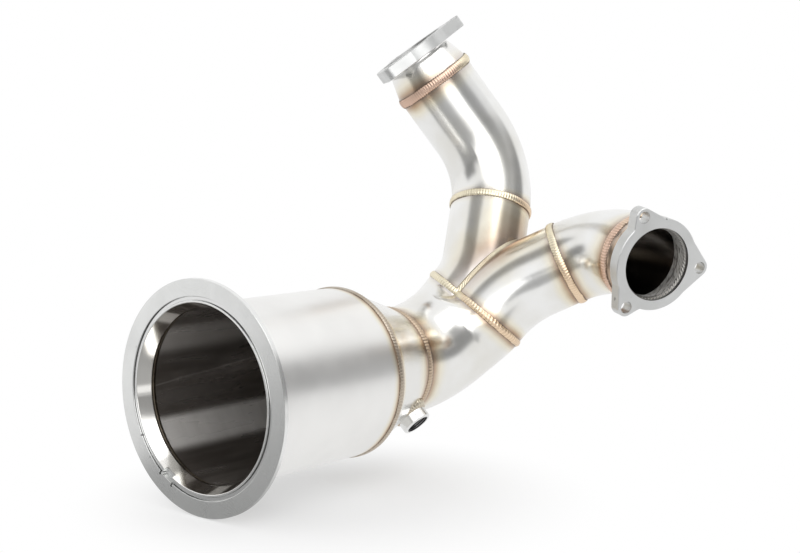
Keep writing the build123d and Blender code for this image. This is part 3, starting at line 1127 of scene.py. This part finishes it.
@dataclass
class Pipes:
    """The trunk, the collector, both branches and their flanges."""

    left_flare: Pair = (0.0042, 0.0208)
    middle_r: float = 0.031  # within the wall of a branch, where a bead's foot is out of sight

    def build(self) -> None:
        """Give each pipe its finish, and each seam its bead."""
        tube = SteelFinish("tube_steel")
        dress("trunk_bend", tube.make((TRUNK_SEAM, MERGE_SEAM)))
        dress("left_merge_tube", tube.make((CROTCH_SEAM, MERGE_SEAM, LEFT_MID)))
        dress("right_merge_tube", tube.make((CROTCH_SEAM, MERGE_SEAM, RIGHT_MID)))
        dress("left_upper_bend", tube.make((LEFT_MID, LEFT_TOP), LEFT_CORE))
        dress("right_upper_bend", tube.make((RIGHT_MID, RIGHT_TOP), RIGHT_CORE))
        dress("left_stub", StubFinish(flare=self.left_flare).make(LEFT_TOP))
        dress("right_stub", StubFinish().make(RIGHT_TOP))
        dress("left_flange", PlateFinish().make())
        dress("right_flange", PlateFinish().make())
        dress("merge_ring_weld", WeldFinish(WeldTone.STRAW, 96, 0.5).make(MERGE_SEAM))
        dress("crotch_weld", WeldFinish(WeldTone.STRAW, 96, 0.5, 0.25).make(MERGE_SEAM))
        dress("left_flange_weld", WeldFinish(WeldTone.DULL, 60, 0.6, 0.0).make(LEFT_TOP))
        dress("right_flange_weld", WeldFinish(WeldTone.DULL, 60, 0.6, 0.0).make(RIGHT_TOP))
        middle = self.middle_r
        for bead in (
            RippledBead("left_mid_weld", LEFT_MID, WeldTone.STRAW, 92, middle),
            RippledBead("right_mid_weld", RIGHT_MID, WeldTone.STRAW, 92, middle),
            RippledBead("left_stub_weld", LEFT_TOP, WeldTone.ROSE, 96, middle, 0.26),
            RippledBead("right_stub_weld", RIGHT_TOP, WeldTone.ROSE, 96, middle, 0.26),
        ):
            bead.build()


# studio


def toward(azimuth: float, rise: float = 0.0) -> Vector:
    """Give a direction of length 1.

    Args:
        azimuth: Degrees from +X to +Y.
        rise: Degrees above the level.

    Returns:
        The direction.
    """
    turn, climb = math.radians(azimuth), math.radians(rise)
    level = math.cos(climb)
    return Vector((level * math.cos(turn), level * math.sin(turn), math.sin(climb)))


@dataclass(frozen=True)
class Patch:
    """A soft-edged patch of the room's walls and floor, as the steel reflects it.

    The angles are degrees; the azimuth turns from +X to +Y, and tone is the patch's grey.
    """

    azimuth: float
    half_width: float
    low: float
    high: float
    tone: float
    soft: float

    def cover(self, graph: Graph, way: Socket) -> Value:
        """Give how much of the patch a direction sees.

        Args:
            graph: The nodes.
            way: The direction, of length 1.

        Returns:
            1 inside the patch and 0 outside.
        """
        half = self.soft / 2.0
        level = graph.length(graph.vector_math("MULTIPLY", way, WITHOUT_Z).outputs[0])
        facing = graph.along(way, toward(self.azimuth)) / level.most(0.001)
        outer, inner = (
            math.cos(math.radians(self.half_width + shift)) for shift in (half, -half)
        )
        rises = (self.low - half, self.low + half, self.high - half, self.high + half)
        heights = (math.sin(math.radians(rise)) for rise in rises)
        return facing.between(outer, inner) * graph.along(way, UP).band(*heights)


@dataclass(frozen=True)
class Lamp:
    """A soft rectangular lamp that looks at the part's middle.

    The angles are degrees, and glow is the grey that its face would have.
    """

    name: str
    azimuth: float
    rise: float
    distance: float
    width: float
    height: float
    glow: float

    def build(self, target: Vector) -> None:
        """Hang the lamp.

        Args:
            target: The point that it looks at.
        """
        way = toward(self.azimuth, self.rise)
        lamp = bpy.data.lights.new(self.name, "AREA")
        lamp.shape = "RECTANGLE"
        lamp.size = self.width
        lamp.size_y = self.height
        lamp.energy = math.pi * self.width * self.height * self.glow
        holder = add_object(self.name, lamp)
        holder.location = target + way * self.distance
        holder.rotation_euler = way.to_track_quat("Z", "Y").to_euler()


@dataclass
class Studio:
    """A white room with grey patches for the steel to reflect, a pale floor and soft lamps."""

    floor_z: float = -0.0787  # just under the clamp flange's rim
    floor_size: float = 30.0
    paper: float = 0.88
    eye: Triple = (-0.59675, -0.67742, 0.17213)
    right: Triple = (0.6472, -0.7623, 0.0)
    forward: Triple = (0.7583, 0.6438, -0.1029)
    lens: float = 63.0
    sensor: float = 36.0
    nearest: float = 0.01
    centre: Triple = (0.22, -0.03, 0.09)
    even_light: float = 0.75
    floor_gloss: float = 0.75  # share of the patches in the floor's reflection
    shadow_middle: Pair = (0.10, -0.03)
    shadow_span: Pair = (0.05, 0.19)  # from the full shadow out to white, in metres
    shadow_lift: float = 0.32  # share of white in the full shadow
    patches: tuple[Patch, ...] = (
        Patch(291.0, 35.0, -6.0, 29.0, 0.29, 8.0),
        Patch(262.0, 13.0, -33.0, -3.0, 0.36, 7.0),
        Patch(278.0, 12.0, 25.0, 42.0, 0.42, 8.0),
        Patch(174.0, 27.0, -42.0, 8.0, 0.24, 8.0),
        Patch(158.0, 18.0, 2.0, 19.0, 0.28, 8.0),
        Patch(209.0, 17.0, -38.0, -4.0, 0.27, 8.0),
        Patch(165.0, 25.0, 38.0, 55.0, 0.30, 7.0),
    )
    lamps: tuple[Lamp, ...] = (
        Lamp("front", 227.0, 21.0, 3.0, 3.1, 2.5, 1.14),
        Lamp("top", 275.0, 58.0, 1.5, 1.2, 0.9, 1.16),
    )

    def build(self) -> None:
        """Build the camera, the room, the floor and the lamps."""
        self._camera()
        self._world()
        self._floor()
        for lamp in self.lamps:
            lamp.build(Vector(self.centre))

    def _camera(self) -> None:
        """Set the camera where the photograph was taken from."""
        camera = bpy.data.cameras.new("camera")
        camera.sensor_fit = "HORIZONTAL"
        camera.sensor_width = self.sensor
        camera.lens = self.lens
        camera.clip_start = self.nearest
        holder = add_object("camera", camera)
        back = -Vector(self.forward).normalized()
        right = Vector(self.right).normalized()
        turn = Matrix((right, back.cross(right), back)).transposed().to_4x4()
        holder.matrix_world = Matrix.Translation(Vector(self.eye)) @ turn
        bpy.context.scene.camera = holder

    def _tone(self, graph: Graph, way: Socket) -> Socket:
        """Give the room's colour in a direction from the part.

        Args:
            graph: The nodes.
            way: The direction, of length 1.

        Returns:
            The colour.
        """
        colour: Any = WHITE
        for patch in self.patches:
            colour = graph.mix(patch.cover(graph, way), colour, (patch.tone,) * 3)
        return colour

    def _rays(self, graph: Graph) -> tuple[Value, Value]:
        """Tell apart the rays that reach a surface.

        Args:
            graph: The nodes.

        Returns:
            1 for the rays that the camera sees straight, and 1 for reflected ones.
        """
        path = graph.add("ShaderNodeLightPath")
        camera, passed, gloss = (
            Value(graph, path.outputs[kind])
            for kind in ("Is Camera Ray", "Is Transmission Ray", "Is Glossy Ray")
        )
        return camera.most(passed), gloss

    def _world(self) -> None:
        """Fill the room with even light, white to the camera, patched in reflections."""
        world = bpy.data.worlds.new("room")
        bpy.context.scene.world = world
        graph = Graph(world)
        way = graph.add("ShaderNodeTexCoord").outputs["Generated"]
        seen, gloss = self._rays(graph)
        even = {"Color": WHITE, "Strength": self.even_light}
        light = graph.add("ShaderNodeBackground", None, even)
        room = graph.add("ShaderNodeBackground", None, {"Color": self._tone(graph, way)})
        white = graph.add("ShaderNodeBackground", None, {"Color": WHITE})
        both = graph.blend(seen, graph.blend(gloss, light, room), white)
        graph.add("ShaderNodeOutputWorld", None, {"Surface": both.outputs[0]})

    def _floor(self) -> None:
        """Lay a pale floor that keeps the part's shadow and is white further off."""
        shape = bmesh.new()
        bmesh.ops.create_grid(shape, x_segments=1, y_segments=1, size=self.floor_size)
        bmesh.ops.translate(shape, vec=(0.0, 0.0, self.floor_z), verts=shape.verts)
        floor = add_shape("floor", shape)
        graph = Graph.material("floor_paper")
        seen, gloss = self._rays(graph)
        way = graph.vector_math("NORMALIZE", graph.offset(self.centre)).outputs[0]
        middle = graph.offset((*self.shadow_middle, self.floor_z))
        far = graph.length(middle).between(*self.shadow_span)
        white_share = self.shadow_lift + (1.0 - self.shadow_lift) * far
        paper = graph.add("ShaderNodeBsdfDiffuse", None, {"Color": (self.paper,) * 3})
        white = graph.add("ShaderNodeEmission", None, {"Color": WHITE})
        room = graph.add("ShaderNodeEmission", None, {"Color": self._tone(graph, way)})
        lit = graph.blend(seen * white_share, paper, white)
        both = graph.blend(gloss * self.floor_gloss, lit, room)
        graph.add("ShaderNodeOutputMaterial", None, {"Surface": both.outputs[0]})
        floor.data.materials.append(graph.owner)


def main() -> None:
    """Dress the part and build the room."""
    logging.basicConfig(level=logging.INFO, format="%(name)s: %(message)s")
    bpy.context.scene.view_settings.view_transform = "Standard"
    Can().build()
    Pipes().build()
    Studio().build()


if __name__ == "__main__":
    main()
